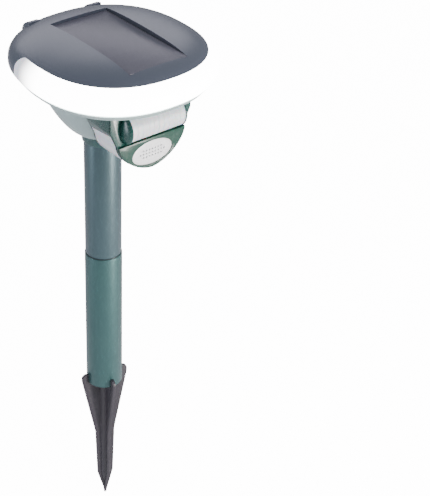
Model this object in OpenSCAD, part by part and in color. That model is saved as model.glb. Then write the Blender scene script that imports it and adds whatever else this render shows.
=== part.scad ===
// Solar ultrasonic pest repeller on a ground stake.
// Frame: +Z up, the object faces -Y, and the origin is on the pole's axis at ground level,
// where the lower tube stands on the stake's blades.

/* [Pole] */
// Outer diameter of the upper tube
upper_od = 36; // [32:0.5:40]
// Outer diameter of the lower tube
lower_od = 37.2; // [35:0.2:42]
// Wall of both tubes
tube_wall = 1.6; // [1.2:0.1:2.4]
// Length of the lower tube
lower_len = 160; // [100:5:260]
// Length of the upper tube that shows between the seam and the head's collar
upper_len = 126.8; // [90:0.2:200]
// Length of the upper tube that is inside the head's collar
tube_grip = 13; // [10:0.5:16]
// Height of the joiner's ring that shows as a dark line between the tubes
joiner_ring = 1; // [0.6:0.1:2]
// Length of the joiner inside each tube
joiner_len = 28; // [15:1:45]

/* [Stake] */
// Depth of the stake's point below the ground
stake_len = 164; // [120:1:220]
// Length of the stake's point
point_len = 32; // [20:1:45]
// Depth at which the blades stop narrowing fast
waist_depth = 72; // [50:1:90]
// Reach of a blade at its shoulder
blade_reach = 25.5; // [23:0.5:34]
// Reach of a blade at its waist
waist_reach = 10.8; // [9:0.2:14]
// Reach of a blade where the point starts
point_reach = 8.8; // [7:0.2:9]
// Height of the blades' ears above the ground
ear_height = 10; // [4:1:16]
// Thickness of a blade
blade_t = 3.2; // [2:0.2:5]
// Radius of the stake's round core
core_r = 6; // [4:0.2:7]
// Turn of the stake about the pole
stake_turn = -12; // [-45:1:45]
// Length of the stake's plug inside the lower tube
plug_len = 30; // [15:1:50]

/* [Head] */
// Width of the head
head_w = 176.6; // [165:0.2:215]
// Length of the head, front to back
head_l = 185; // [180:0.5:225]
// Squareness of the head's plan, where 2 is an ellipse
head_n = 2.33; // [2:0.01:3]
// Distance from the pole's axis forward to the head's centre
head_shift = 17; // [10:0.5:22]
// Height from the rim to the head's widest level
rim_h = 8.85; // [7:0.05:12]
// Height from the widest level to the top of the dome
dome_h = 27.04; // [25.5:0.02:34]
// Squareness of the dome across
dome_p = 3.14; // [2.6:0.02:3.8]
// Squareness of the dome upward
dome_q = 2.55; // [2.2:0.01:3]
// Size of the rim as a share of the widest level
rim_share = 0.943; // [0.93:0.001:0.97]
// Size of the tray's floor as a share of the widest level
floor_share = 0.9; // [0.88:0.001:0.93]
// Wall of the cover, the tray and the bowl
shell = 2.2; // [1.6:0.1:3]
// Height of the tray
tray_h = 5.8; // [4.6:0.1:8]
// Height of the bowl under the tray
bowl_h = 61.6; // [55:0.2:75]
// Radius of the bowl where it meets the tray
bowl_r = 64; // [62:0.5:66]
// Curve of the bowl, where 1 is a cone
bowl_curve = 1.7; // [1.4:0.05:2]
// Height of the collar under the bowl
collar_h = 10.6; // [8:0.2:14]
// Width that the collar's wall has at its foot
collar_foot = 1.3; // [1.1:0.1:2.5]
// Width that the collar's wall has at its top
collar_top = 3; // [2.6:0.1:4]
// Height of the lit band's lens
band_h = 24.9; // [20:0.1:26]
// Distance that the lit band goes back past the pole's axis
band_back = 13; // [5:0.5:20]
// Corner radius at the lit band's ends
band_corner = 9; // [4:0.5:11]
// Wall of the lit band's lens
band_wall = 2; // [1.4:0.1:2.4]
// Thickness of the joint line around the lit band
band_gap = 0.15; // [0.1:0.05:0.4]
// Distance of the front case screws from the middle
screw_x_front = 34; // [30:0.5:38]
// Distance of the rear case screws from the middle
screw_x_rear = 44; // [42:0.5:46]

/* [Solar panel] */
// Width of the solar panel
panel_w = 62; // [50:0.5:66]
// Length of the solar panel
panel_l = 118; // [98:0.5:120]
// Distance from the pole's axis forward to the panel's centre
panel_shift = 23.6; // [20:0.2:26]
// Depth of the panel's face below the top of the dome
panel_sink = 5.2; // [4.4:0.1:5.6]
// Thickness of the panel's glass
glass_t = 1.5; // [1:0.1:2]
// Thickness of the sheet of solar cells
cell_t = 0.6; // [0.3:0.1:0.8]
// Thickness of the panel's backing board
backing_t = 1.2; // [0.8:0.1:1.4]
// Gap between the panel and its pocket's walls
panel_gap = 0.3; // [0.2:0.1:0.8]

/* [Sensor module] */
// Width of the sensor module at its shoulders
module_w = 90; // [80:0.5:98]
// Width of the front plate at its ledge
plate_w = 75; // [68:0.5:78]
// Distance from the pole's axis forward to the front plate's face
plate_reach = 76; // [72:0.5:80]
// Distance from the pole's axis forward to the module's back
module_back = 38; // [36:0.5:42]
// Drop from the tray to the shoulders' lower edge
shoulder_drop = 20.5; // [18:0.5:24]
// Drop from the tray to the front plate's ledge
ledge_drop = 37; // [35:0.5:42]
// Height of the front plate's rounded part
plate_h = 31; // [27:0.2:36]
// Squareness of the front plate's rounded part
plate_n = 1.7; // [1.6:0.05:2.4]
// Wall of the sensor housing
module_wall = 2; // [1.5:0.1:2.6]
// Thickness of the front plate
plate_t = 2.5; // [1.8:0.1:3]
// Thickness of the fascia behind the front plate
fascia_t = 2; // [1.5:0.1:2.5]
// Width of the sounder's oval grille
grille_w = 45; // [36:0.5:50]
// Height of the sounder's oval grille
grille_h = 24; // [20:0.5:26]
// Thickness of the grille
grille_t = 2; // [1.2:0.1:2.4]
// Diameter of a hole in the grille
grille_hole = 1.5; // [1:0.1:2]
// Spacing of the grille's holes
grille_pitch = 3.3; // [2.6:0.1:4]
// Width of the motion sensor's lens
lens_w = 59; // [50:0.5:62]
// Radius of the motion sensor's lens
lens_r = 14.2; // [10:0.1:15]
// Drop from the tray to the lens's middle
lens_drop = 20.5; // [16:0.5:21]
// Wall of the motion sensor's lens
lens_wall = 1.2; // [0.8:0.1:1.8]
// Length of a lens end cap
cap_len = 5; // [3:0.5:6]
// Height of a side window
window_h = 28; // [20:0.5:30]
// Thickness of a side window
window_t = 1.4; // [1:0.1:1.6]
// Radius of the ultrasonic sounder
sounder_r = 11; // [8:0.5:11.5]
// Length of the ultrasonic sounder
sounder_len = 12; // [8:0.5:18]

/* [Rear controls] */
// Width of the control pod
pod_w = 76; // [74:1:84]
// Height of the control pod
pod_h = 25; // [24:0.5:28]
// Drop from the tray to the pod's top
pod_drop = 8; // [6:0.5:12]
// Distance from the pole's axis back to the pod's face
pod_reach = 60; // [58:0.5:62]
// Corner radius of the control pod
pod_corner = 5; // [3:0.5:7]
// Wall of the control pod
pod_wall = 2; // [1.6:0.1:2.4]
// Width of the battery door
door_w = 47; // [46:0.5:48]
// Height of the battery door below its hinge
door_h = 17; // [16:0.5:18]
// Thickness of the battery door
door_t = 1.8; // [1.4:0.1:2]
// Radius of a control knob
knob_r = 5; // [3.5:0.1:5.2]
// Height of a control knob
knob_h = 4.4; // [3:0.2:7]
// Radius of a knob's shaft
shaft_r = 1.5; // [1.2:0.1:2]
// Diameter of a battery
cell_d = 10.4; // [10:0.1:10.6]
// Length of a battery
cell_len = 44.4; // [43:0.1:45]

/* [Hidden] */
$fn = 64;
turn_gap = 0.06;
move_gap = 0.3;
seat_gap = 0.1;
eps = 0.02;

lower_r = lower_od / 2;
upper_r = upper_od / 2;
lower_bore = lower_r - tube_wall;
upper_bore = upper_r - tube_wall;

z_seam = lower_len;
z_collar = z_seam + upper_len;
z_neck = z_collar + collar_h;
z_tube_top = z_collar + tube_grip;
z_tray = z_neck + bowl_h;
z_rim = z_tray + tray_h;
z_wide = z_rim + rim_h;
z_top = z_wide + dome_h;
z_band = z_rim + band_h;
z_glass = z_top - panel_sink;
z_cells = z_glass - glass_t;
z_backing = z_cells - cell_t;
z_pocket = z_backing - backing_t;
neck_r = upper_r + turn_gap;
collar_r = neck_r + collar_top;

// Plan sizes of the head at its widest
head_a = head_w / 2;
head_b = head_l / 2;
segments = 72;
dome_rings = 14;
rim_rings = 4;
bowl_steps = 24;
bowl_flange = 8;
bowl_flange_t = 2.4;

// Lugs at the back of the cover
lug_x = 34;
lug_y = head_l / 2 - head_shift - 9.5;
lug_w = 13;

// Case screws: the front pair goes up from the tray, the rear pairs from the bowl
screw_r = 1.5;
screw_head_r = 3;
screw_head_h = 2;
boss_r = 4.5;
screw_y_front = -80;
screw_y_rear = [-24, 24];
bowl_screw_z = z_tray - 7;
front_screws = [for (side = [-1, 1]) [side * screw_x_front, screw_y_front]];
rear_screws = [for (side = [-1, 1], y = screw_y_rear) [side * screw_x_rear, y]];

// Lit band's light strip
strip_inset = 9;
strip_t = 1.2;
strip_high = 5;
led_size = 4.6;
led_t = 1.5;
led_step = 16;
led_last = 96;

// Sensor module levels and depths
plate_y = -plate_reach;
fascia_y = plate_y + plate_t;
housing_y = fascia_y + fascia_t;
z_shoulder = z_tray - shoulder_drop;
z_ledge = z_tray - ledge_drop;
z_grille = z_ledge - 15;
z_lens = z_tray - lens_drop;
lens_y = housing_y;
module_x = module_w / 2;
plate_x = plate_w / 2;
window_top = z_shoulder - 5;
window_sag = 4;
window_corner = 8;
window_front = housing_y + 1;
window_rear = -module_back - 2.5;
plate_screws = [[-29, z_ledge - 5], [29, z_ledge - 5]];

// Rear controls
z_pod_top = z_tray - pod_drop;
z_pod = z_pod_top - pod_h / 2;
pod_inside_y = 26;
door_y = pod_reach - door_t;
hinge_r = 1.6;
hinge_y = pod_reach - hinge_r - 0.2;
z_hinge = z_pod + door_h / 2 + 0.6;
pin_r = 1;
pin_len = 2.2;
knob_x = (door_w / 2 + pod_w / 2) / 2;
z_knob = z_pod;
knob_well = 2;
control_len = 8;
control_r = pod_w / 2 - pod_wall - knob_x - 0.2;
tray_wall = 1.2;
battery_gap = 0.4;
battery_pitch = cell_d + battery_gap;
pod_face_t = 3;
pod_inner_y = pod_reach - pod_face_t;
box_y = pod_inner_y - 3 * battery_pitch;
box_z = z_pod - cell_d / 2 - 0.2;
contact_t = 0.6;

// ---- Shapes that repeat ----

function sign_pow(v, e) = sign(v) * pow(abs(v), e);

// One ring of the head's plan at level z, share s of the widest, drawn in by inset
function head_ring(s, z, inset = 0) = [
    for (i = [0 : segments - 1])
        let (t = 360 * i / segments)
        [
            (head_a * s - inset) * sign_pow(cos(t), 2 / head_n),
            (head_b * s - inset) * sign_pow(sin(t), 2 / head_n) - head_shift,
            z
        ]
];

// Share of the widest level between the rim and the widest level, t from 0 to 1
function rim_at(t) = rim_share + (1 - rim_share) * sin(90 * t);

// Rings from the rim to the widest level
function rim_part(inset) = [
    for (k = [0 : rim_rings - 1])
        head_ring(rim_at(k / rim_rings), z_rim + rim_h * k / rim_rings, inset)
];

// Rings from the widest level to the top
function dome_part(inset, drop) = [
    for (k = [0 : dome_rings])
        let (t = 88.5 * k / dome_rings)
        head_ring(pow(cos(t), 2 / dome_p), z_wide + (dome_h - drop) * pow(sin(t), 2 / dome_q), inset * cos(t))
];

function ring_faces(count) = [
    for (k = [0 : count - 2], i = [0 : segments - 1], half = [0, 1])
        let (
            j = (i + 1) % segments,
            a = k * segments + i,
            b = (k + 1) * segments + i,
            c = (k + 1) * segments + j,
            d = k * segments + j
        )
        half == 0 ? [a, b, c] : [a, c, d]
];

// Solid through a list of rings, from the lowest to the highest
module loft(rings) {
    count = len(rings);
    floor_face = [for (i = [0 : segments - 1]) i];
    top_face = [for (i = [segments - 1 : -1 : 0]) (count - 1) * segments + i];
    polyhedron(
        points = [for (ring = rings) each ring],
        faces = concat([floor_face], ring_faces(count), [top_face]),
        convexity = 6
    );
}

module dome_outside() {
    loft(concat(rim_part(0), dome_part(0, 0)));
}

module dome_inside() {
    low = head_ring(rim_share, z_rim - 1, shell);
    loft(concat([low], rim_part(shell), dome_part(shell, shell)));
}

// Box that is solid from one corner to another
module span(low, high) {
    translate(low) cube(high - low);
}

// Bar along X whose section, in Y and Z, is a polygon
module across(points, half_w) {
    translate([-half_w, 0, 0])
        rotate([90, 0, 90])
            linear_extrude(height = 2 * half_w)
                polygon(points);
}

// Plate along Y from y0 to y1 whose section, in X and Z, is the child
module through(y0, y1) {
    translate([0, y1, 0])
        rotate([90, 0, 0])
            linear_extrude(height = y1 - y0)
                children();
}

// Cylinder along Y
module round_y(x, z, r, y0, y1) {
    translate([x, y0, z])
        rotate([-90, 0, 0])
            cylinder(h = y1 - y0, r = r);
}

// Cylinder along X
module round_x(y, z, r, x0, x1) {
    translate([x0, y, z])
        rotate([0, 90, 0])
            cylinder(h = x1 - x0, r = r);
}

module post(at, r, z0, z1) {
    translate([at[0], at[1], z0]) cylinder(h = z1 - z0, r = r);
}

// Points of an arc about (x, y)
function arc(x, y, r, from, to, steps) = [
    for (i = [0 : steps])
        let (t = from + (to - from) * i / steps)
        [x + r * cos(t), y + r * sin(t)]
];

// Ellipse as a polygon
function oval(w, h, steps) = [
    for (i = [0 : steps - 1])
        [w / 2 * cos(360 * i / steps), h / 2 * sin(360 * i / steps)]
];

// Side view of the lit band: its ends are round
function band_side(grow) = let (
    r = band_corner,
    y = band_back + grow,
    low = z_rim - grow,
    top = z_band + grow
) concat(
    [[-head_l, low]],
    arc(y - r, low + r, r, -90, 0, 8),
    arc(y - r, top - r, r, 0, 90, 8),
    [[-head_l, top]]
);

// Front view of the sensor module, drawn in by inset
function module_front(inset, top) = let (
    w = plate_x - inset,
    h = plate_h - inset,
    steps = 24
) concat(
    [[module_x - inset, top], [-module_x + inset, top], [-module_x + inset, z_shoulder]],
    [for (i = [0 : steps])
        let (t = 180 + 180 * i / steps)
        [w * sign_pow(cos(t), 2 / plate_n), z_ledge + h * sign_pow(sin(t), 2 / plate_n)]],
    [[module_x - inset, z_shoulder]]
);

// Front view of the plate under the ledge
function plate_front(inset) = let (w = plate_x - inset, h = plate_h - inset, steps = 24) [
    for (i = [0 : steps])
        let (t = 180 + 180 * i / steps)
        [w * sign_pow(cos(t), 2 / plate_n), z_ledge + h * sign_pow(sin(t), 2 / plate_n)]
];

// Side view of a side window, which sags towards its rear
function window_side(grow) = let (low = window_top - window_h - grow, y = window_rear + grow) concat(
    [[window_front, low]],
    arc(y - window_corner, low - window_sag + window_corner, window_corner, -90, 0, 6),
    [[y, window_top - window_sag + grow], [window_front, window_top + grow]]
);

// Rounded rectangle in X and Z, from x0 to x1 and z0 to z1
module round_rect(x0, x1, z0, z1, r) {
    polygon(concat(
        arc(x1 - r, z0 + r, r, -90, 0, 6),
        arc(x1 - r, z1 - r, r, 0, 90, 6),
        arc(x0 + r, z1 - r, r, 90, 180, 6),
        arc(x0 + r, z0 + r, r, 180, 270, 6)
    ));
}

// Outline of the bowl from its neck up, drawn in by inset
function bowl_outline(inset) = [
    for (i = [0 : bowl_steps])
        let (u = i / bowl_steps)
        [collar_r + (bowl_r - collar_r) * u - inset, z_neck + bowl_h * pow(u, bowl_curve)]
];

module bowl_body() {
    rotate_extrude()
        polygon(concat([[0, z_neck]], bowl_outline(0), [[0, z_tray]]));
}

// ---- Pole ----

module blade_outline() {
    shoulder = 5;
    polygon(concat(
        [[0, -stake_len], [point_reach, point_len - stake_len], [waist_reach, -waist_depth]],
        [[blade_reach, ear_height - shoulder * 1.6]],
        arc(blade_reach - shoulder, ear_height - shoulder, shoulder, 10, 90, 6),
        [[lower_r + seat_gap, ear_height], [lower_r + seat_gap, 0], [0, 0]]
    ));
}

module ground_stake() {
    color("#3b383f") {
        rotate([0, 0, stake_turn])
            for (turn = [0 : 90 : 270])
                rotate([90, 0, turn])
                    translate([0, 0, -blade_t / 2])
                        linear_extrude(height = blade_t)
                            blade_outline();
        translate([0, 0, point_len - stake_len])
            cylinder(h = stake_len - point_len, r = core_r);
        translate([0, 0, -stake_len + point_len * (1 - core_r / point_reach)])
            cylinder(h = point_len * core_r / point_reach, r1 = 0.3, r2 = core_r);
        difference() {
            cylinder(h = plug_len, r = lower_bore - seat_gap);
            translate([0, 0, 4])
                cylinder(h = plug_len, r = lower_bore - seat_gap - 2.4);
        }
        translate([0, 0, -3])
            cylinder(h = 3, r1 = core_r, r2 = lower_bore - seat_gap);
    }
}

module tube(r, low, high) {
    difference() {
        translate([0, 0, low]) cylinder(h = high - low, r = r);
        translate([0, 0, low - 1]) cylinder(h = high - low + 2, r = r - tube_wall);
    }
}

module lower_tube() {
    color("#3f6f6a") tube(lower_r, 0, z_seam);
}

module upper_tube() {
    color("#3d6668") tube(upper_r, z_seam + joiner_ring, z_tube_top);
}

module tube_joiner() {
    ring_r = upper_r + 0.2;
    color("#1d3334")
        difference() {
            union() {
                translate([0, 0, z_seam - joiner_len])
                    cylinder(h = joiner_len, r = lower_bore - seat_gap);
                translate([0, 0, z_seam]) cylinder(h = joiner_ring, r = ring_r);
                translate([0, 0, z_seam + joiner_ring])
                    cylinder(h = joiner_len, r = upper_bore - seat_gap);
            }
            translate([0, 0, z_seam - joiner_len - 1])
                cylinder(h = 2 * joiner_len + joiner_ring + 2, r = upper_bore - 2.6);
        }
}

// ---- Head shells ----

module neck_collar() {
    socket_top = z_tube_top + move_gap;
    color("#4a7472")
        difference() {
            union() {
                translate([0, 0, z_collar])
                    cylinder(h = collar_h, r1 = neck_r + collar_foot, r2 = collar_r);
                translate([0, 0, z_neck])
                    cylinder(h = socket_top - z_neck + shell, r = neck_r + shell);
            }
            translate([0, 0, z_collar - 1])
                cylinder(h = socket_top - z_collar + 1, r = neck_r);
        }
}

module lower_bowl() {
    color("#55807c")
        difference() {
            union() {
                difference() {
                    bowl_body();
                    bowl_inside();
                }
                intersection() {
                    bowl_body();
                    for (at = rear_screws) post(at, boss_r, z_neck, z_tray);
                }
            }
            translate([0, 0, z_neck - 1]) cylinder(h = shell + 2, r = neck_r + shell + seat_gap);
            for (at = rear_screws) {
                post(at, screw_head_r + 0.4, z_neck - 1, bowl_screw_z);
                post(at, screw_r + 0.2, z_neck, z_tray + 1);
            }
            through(-head_l, -module_back + seat_gap)
                polygon(module_front(-seat_gap, z_tray + 1));
            through(pod_inside_y - seat_gap, head_l)
                round_rect(
                    -pod_w / 2 - seat_gap, pod_w / 2 + seat_gap,
                    z_pod_top - pod_h - seat_gap, z_pod_top + seat_gap, pod_corner
                );
        }
}

// Hollow of the bowl, with a flange left at the top
module bowl_inside() {
    low = z_neck + 2 * shell;
    high = z_tray - bowl_flange_t;
    walls = [for (p = bowl_outline(shell)) if (p[1] > low && p[1] < high) p];
    rotate_extrude()
        polygon(concat(
            [[0, z_neck + shell], [neck_r + shell + 1, z_neck + shell]],
            walls,
            [[bowl_r - shell - 1, high], [bowl_r - bowl_flange, high]],
            [[bowl_r - bowl_flange, z_tray + 1], [0, z_tray + 1]]
        ));
}

module base_tray() {
    opening_r = bowl_r - 14;
    color("#6d8a88")
        difference() {
            loft([head_ring(floor_share, z_tray), head_ring(rim_share, z_rim)]);
            loft([
                head_ring(floor_share, z_tray + shell, shell + 0.4),
                head_ring(rim_share, z_rim + eps, shell)
            ]);
            intersection() {
                translate([0, 0, z_tray - 1]) cylinder(h = shell + 2, r = opening_r);
                span(
                    [-screw_x_rear + boss_r + 2, -module_back + 4, z_tray - 1],
                    [screw_x_rear - boss_r - 2, head_b, z_rim]
                );
            }
            for (at = concat(front_screws, rear_screws))
                post(at, screw_r + 0.2, z_tray - 1, z_rim);
        }
}

module top_cover() {
    color("#5b6672")
        difference() {
            union() {
                difference() {
                    dome_outside();
                    difference() {
                        dome_inside();
                        pocket_block();
                    }
                    across(band_side(band_gap), head_w);
                    rear_lug(-1);
                    rear_lug(1);
                }
                intersection() {
                    dome_outside();
                    for (at = rear_screws) post(at, boss_r, z_tray + shell, z_top);
                }
                for (at = front_screws) post(at, boss_r, z_tray + shell, z_pocket - shell / 2);
            }
            translate([0, -panel_shift, z_pocket + head_l / 2])
                cube([panel_w + 2 * panel_gap, panel_l + 2 * panel_gap, head_l], center = true);
            for (at = front_screws) post(at, screw_r + eps, z_tray, z_pocket - shell);
            for (at = rear_screws) post(at, screw_r + eps, z_tray, z_band - 4);
        }
}

// Block that the panel's pocket is cut into
module pocket_block() {
    w = panel_w + 2 * (panel_gap + shell);
    l = panel_l + 2 * (panel_gap + shell);
    floor_z = z_pocket - shell * 0.7;
    translate([0, -panel_shift, floor_z + head_l / 2]) cube([w, l, head_l], center = true);
}

module band_lens() {
    color("#f4f5fb")
        intersection() {
            difference() {
                dome_outside();
                loft(concat(
                    [head_ring(rim_share, z_rim - 1, band_wall)],
                    rim_part(band_wall),
                    [for (k = [0 : 10])
                        let (t = 60 * k / 10)
                        head_ring(
                            pow(cos(t), 2 / dome_p),
                            z_wide + dome_h * pow(sin(t), 2 / dome_q),
                            band_wall
                        )]
                ));
            }
            across(band_side(0), head_w);
        }
}

// Ring of the light strip, between two insets from the rim's outline
module strip_ring(inset, t, low, high) {
    intersection() {
        difference() {
            loft([head_ring(rim_share, low, inset), head_ring(rim_share, high, inset)]);
            loft([head_ring(rim_share, low - 1, inset + t), head_ring(rim_share, high + 1, inset + t)]);
        }
        span([-head_w, -head_l, low], [head_w, band_back - 10, high]);
    }
}

module light_strip() {
    color("#e9ece8")
        strip_ring(strip_inset, strip_t, z_tray + shell, z_band - strip_high);
}

// Light-emitting diodes on the strip, each square to the outline
module strip_leds() {
    s_a = head_a * rim_share - strip_inset;
    s_b = head_b * rim_share - strip_inset;
    z_led = (z_rim + z_band) / 2;
    color("#fff7df")
        for (k = [-led_last : led_step : led_last]) {
            t = k - 90;
            x = s_a * sign_pow(cos(t), 2 / head_n);
            y = s_b * sign_pow(sin(t), 2 / head_n) - head_shift;
            nx = sign_pow(x / s_a, head_n - 1) / s_a;
            ny = sign_pow((y + head_shift) / s_b, head_n - 1) / s_b;
            translate([x, y, z_led])
                rotate([0, 0, atan2(ny, nx)])
                    translate([led_t / 2 + 0.05, 0, 0])
                        cube([led_t, led_size, led_size], center = true);
        }
}

// ---- Solar panel ----

module panel_sheet(w, l, low, t) {
    translate([0, -panel_shift, low + t / 2]) cube([w, l, t], center = true);
}

module solar_backing() {
    color("#d9d9cf") panel_sheet(panel_w - 1, panel_l - 1, z_pocket, backing_t);
}

module solar_cells() {
    rows = 6;
    gap = 1.2;
    cell_l = (panel_l - 7) / rows - gap;
    color("#4b4a58")
        for (i = [0 : rows - 1])
            translate([0, (i - (rows - 1) / 2) * (cell_l + gap) - panel_shift, z_backing + cell_t / 2])
                cube([panel_w - 5, cell_l, cell_t], center = true);
}

module solar_glass() {
    color("#75747f") panel_sheet(panel_w, panel_l, z_cells, glass_t);
}

// ---- Rear lugs on the cover ----

module rear_lug(side) {
    rise = [[-10, 11], [-10, 20], [-4, 18.4], [0, 15.6], [3, 10], [0, 5]];
    translate([side * lug_x, lug_y, z_wide])
        across(rise, lug_w / 2);
}

module lug_left() {
    color("#4e5967") rear_lug(-1);
}

module lug_right() {
    color("#4e5967") rear_lug(1);
}

// ---- Fasteners and boards in the head ----

module case_screw(at, head_z, top) {
    post(at, screw_head_r, head_z - screw_head_h, head_z);
    post(at, screw_r, head_z - eps, top);
}

module case_screws() {
    slot = 0.8;
    color("#b9bec2")
        difference() {
            union() {
                for (at = rear_screws) case_screw(at, bowl_screw_z, z_band - 5);
                for (at = front_screws) case_screw(at, z_tray, z_band - 8);
            }
            for (at = rear_screws, turn = [0, 90])
                translate([at[0], at[1], bowl_screw_z - screw_head_h])
                    rotate([0, 0, turn])
                        cube([screw_head_r * 1.3, slot, 2], center = true);
            for (at = front_screws, turn = [0, 90])
                translate([at[0], at[1], z_tray - screw_head_h])
                    rotate([0, 0, turn])
                        cube([screw_head_r * 1.3, slot, 2], center = true);
        }
}

module main_board() {
    board_t = 1.6;
    low = z_rim + 1;
    stand = 4;
    color("#2e7a4b") {
        translate([-34, -68, low]) cube([68, 94, board_t]);
        for (x = [-28, 28], y = [-62, -40])
            translate([x, y, z_tray + shell]) cylinder(h = low - z_tray - shell, r = stand / 2);
    }
    color("#22252a") {
        translate([-12, -50, low + board_t]) cube([14, 14, 1.8]);
        translate([8, -28, low + board_t]) cube([9, 6, 1.6]);
        translate([-24, -4, low + board_t]) cylinder(h = 9, r = 4);
        translate([-24, 8, low + board_t]) cylinder(h = 9, r = 4);
        translate([10, 4, low + board_t]) cube([12, 9, 7]);
    }
}

// ---- Sensor module ----

module sensor_housing() {
    color("#3c726a")
        difference() {
            through(housing_y, -module_back) polygon(module_front(0, z_tray));
            through(housing_y - 1, -module_back - module_wall)
                polygon(module_front(module_wall, z_tray - module_wall));
            side_window_cut();
            span([-12, -module_back - module_wall - 1, z_tray - 15], [12, -module_back + 1, z_tray - 5]);
        }
}

// Pocket that both side windows sit in
module side_window_cut() {
    difference() {
        across(window_side(0.05), head_w);
        through(-head_l, head_l) polygon(module_front(window_t + 0.05, z_tray));
    }
}

module side_window(side) {
    mirror([side < 0 ? 1 : 0, 0, 0])
        color("#d4d7e0")
            intersection() {
                across(window_side(0), head_w);
                difference() {
                    through(housing_y, -module_back) polygon(module_front(0, z_tray));
                    through(housing_y - 1, -module_back + 1) polygon(module_front(window_t, z_tray));
                }
                span([0, -head_l, 0], [head_w, 0, z_top]);
            }
}

module window_left() {
    side_window(-1);
}

module window_right() {
    side_window(1);
}

module sensor_fascia() {
    slot = lens_r - 2.5;
    color("#2b5a52")
        difference() {
            through(fascia_y, housing_y) polygon(module_front(0.3, z_tray));
            through(fascia_y - 1, housing_y + 1)
                round_rect(-lens_w / 2 + 3, lens_w / 2 - 3, z_lens - slot, z_lens + slot, 2);
            round_y(0, z_grille, sounder_r + seat_gap, fascia_y - 1, housing_y + 1);
            for (at = plate_screws) round_y(at[0], at[1], screw_r / 2 + 0.4, fascia_y - 1, housing_y + 1);
        }
}

module front_plate() {
    color("#4a7a70")
        difference() {
            through(plate_y, fascia_y) polygon(plate_front(0.6));
            translate([0, 0, z_grille])
                through(plate_y - 1, fascia_y + 1)
                    polygon(oval(grille_w + 2 * seat_gap, grille_h + 2 * seat_gap, 48));
            for (at = plate_screws) round_y(at[0], at[1], screw_r / 2 + 0.3, plate_y + 1, fascia_y + 1);
        }
}

module plate_screws_set() {
    color("#9aa0a4")
        for (at = plate_screws) {
            round_y(at[0], at[1], screw_r / 2 + 0.2, plate_y + 1.2, housing_y);
            round_y(at[0], at[1], screw_r / 2 + 1, housing_y, housing_y + 1.4);
        }
}

module speaker_grille() {
    color("#eceef1")
        difference() {
            translate([0, 0, z_grille])
                through(fascia_y - grille_t, fascia_y)
                    polygon(oval(grille_w, grille_h, 48));
            for (row = [-1, 0, 1], k = [-4 : 4])
                if (abs(k) < 4 || row == 0)
                    round_y(
                        k * grille_pitch, z_grille + row * grille_pitch, grille_hole / 2,
                        fascia_y - grille_t - 1, fascia_y + 1
                    );
        }
}

module sounder() {
    color("#33363a")
        difference() {
            round_y(0, z_grille, sounder_r, fascia_y, fascia_y + sounder_len);
            round_y(0, z_grille, sounder_r - 1.2, fascia_y - 1, fascia_y + 4);
        }
    color("#c8ccd0") {
        translate([0, fascia_y + 1.6, z_grille])
            rotate([-90, 0, 0])
                cylinder(h = 2.4, r1 = 6, r2 = 2);
        round_y(0, z_grille, 2, fascia_y + 3.9, fascia_y + 5);
    }
}

module motion_lens() {
    half_w = lens_w / 2;
    color("#d6d9e0")
        intersection() {
            difference() {
                round_x(lens_y, z_lens, lens_r, -half_w, half_w);
                round_x(lens_y, z_lens, lens_r - lens_wall, -half_w + lens_wall, half_w - lens_wall);
            }
            span([-head_w, -head_l, 0], [head_w, fascia_y, z_top]);
        }
}

module lens_cap(side) {
    cap_r = lens_r + 0.9;
    inner = lens_w / 2;
    color("#33665c")
        mirror([side < 0 ? 1 : 0, 0, 0])
            intersection() {
                translate([inner, lens_y, z_lens])
                    rotate([0, 90, 0])
                        rotate_extrude()
                            polygon(concat([[0, 0], [cap_r, 0]], cap_curve(cap_r)));
                span([0, -head_l, 0], [head_w, fascia_y, z_top]);
            }
}

// Half-oval outline of an end cap
function cap_curve(r) = [
    for (i = [1 : 8]) [r * cos(90 * i / 8), cap_len * sin(90 * i / 8)]
];

module cap_left() {
    lens_cap(-1);
}

module cap_right() {
    lens_cap(1);
}

module motion_sensor() {
    color("#b8bcc0") {
        round_y(0, z_lens, 4, housing_y + 1, housing_y + 5);
        round_y(0, z_lens, 4.6, housing_y + 5, housing_y + 6);
    }
}

module sensor_board() {
    low = z_lens - 9;
    color("#2e7a4b")
        span([-30, housing_y + 6, low], [30, housing_y + 7.6, z_tray - module_wall]);
}

// ---- Rear controls ----

module control_pod() {
    low = z_pod_top - pod_h;
    half_w = pod_w / 2;
    color("#55807c")
        difference() {
            through(pod_inside_y, pod_reach) round_rect(-half_w, half_w, low, z_pod_top, pod_corner);
            through(pod_inside_y - 1, pod_inner_y)
                round_rect(
                    -half_w + pod_wall, half_w - pod_wall,
                    low + pod_wall, z_pod_top - pod_wall, pod_corner - pod_wall
                );
            span(
                [-door_w / 2 - move_gap, pod_reach - 6, z_hinge - door_h - move_gap],
                [door_w / 2 + move_gap, pod_reach + 1, z_hinge + hinge_r + 0.8]
            );
            round_x(
                hinge_y, z_hinge, pin_r + turn_gap,
                -door_w / 2 - pin_len - 0.4, door_w / 2 + pin_len + 0.4
            );
            for (side = [-1, 1]) {
                round_y(side * knob_x, z_knob, knob_r + 0.6, pod_reach - knob_well, pod_reach + 1);
                round_y(side * knob_x, z_knob, shaft_r + turn_gap, pod_reach - 8, pod_reach);
            }
        }
}

module battery_door() {
    color("#4f7a76") {
        span(
            [-door_w / 2, door_y, z_hinge - door_h],
            [door_w / 2, pod_reach, z_hinge]
        );
        round_x(hinge_y, z_hinge, hinge_r, -door_w / 2, door_w / 2);
        round_x(hinge_y, z_hinge, pin_r, -door_w / 2 - pin_len, door_w / 2 + pin_len);
        span(
            [-8, pod_reach - eps, z_hinge - door_h + 1],
            [8, pod_reach + 0.8, z_hinge - door_h + 2.6]
        );
    }
}

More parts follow.
